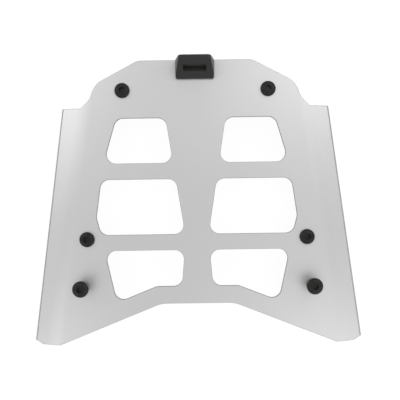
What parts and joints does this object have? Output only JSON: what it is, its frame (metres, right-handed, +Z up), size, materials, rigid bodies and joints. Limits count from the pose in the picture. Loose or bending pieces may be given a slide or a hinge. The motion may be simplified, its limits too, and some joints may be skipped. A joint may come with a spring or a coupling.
{
  "type": "motorcycle luggage rack",
  "caption": "Folded aluminium rack plate for a motorcycle top case, with cut-out windows, a slotted latch block, hook posts and screws that bolt it to the carrier.",
  "frame": {"origin": "under the middle of the rack, on the level of the ends of its screws", "axes": "+X across the rack to the right, +Y from the seat notch to the latch block, +Z up from the plate"},
  "size_m": [0.303, 0.262, 0.051],
  "materials": {
    "anodised_aluminium": "satin natural anodised",
    "black_nylon": "fine moulded texture",
    "black_steel": "black oxide",
    "zinc_steel": "bright zinc plated",
    "turned_steel": "turned, unplated",
    "brass": "turned"
  },
  "bodies": {
    "root": {"rack_plate": "anodised_aluminium", "latch_block": "black_nylon", "fixing_screw_rear_left": "black_steel", "fixing_washer_rear_left": "zinc_steel", "fixing_nut_rear_left": "zinc_steel", "fixing_screw_rear_right": "black_steel", "fixing_washer_rear_right": "zinc_steel", "fixing_nut_rear_right": "zinc_steel", "fixing_screw_front_left": "black_steel", "fixing_washer_front_left": "zinc_steel", "fixing_nut_front_left": "zinc_steel", "fixing_screw_front_right": "black_steel", "fixing_washer_front_right": "zinc_steel", "fixing_nut_front_right": "zinc_steel", "hook_screw_left": "black_steel", "hook_bush_left": "turned_steel", "hook_washer_left": "zinc_steel", "hook_nut_left": "zinc_steel", "hook_screw_right": "black_steel", "hook_bush_right": "turned_steel", "hook_washer_right": "zinc_steel", "hook_nut_right": "zinc_steel", "latch_screw_left": "black_steel", "latch_washer_left": "zinc_steel", "latch_insert_left": "brass", "latch_screw_right": "black_steel", "latch_washer_right": "zinc_steel", "latch_insert_right": "brass"}
  },
  "joints": []
}
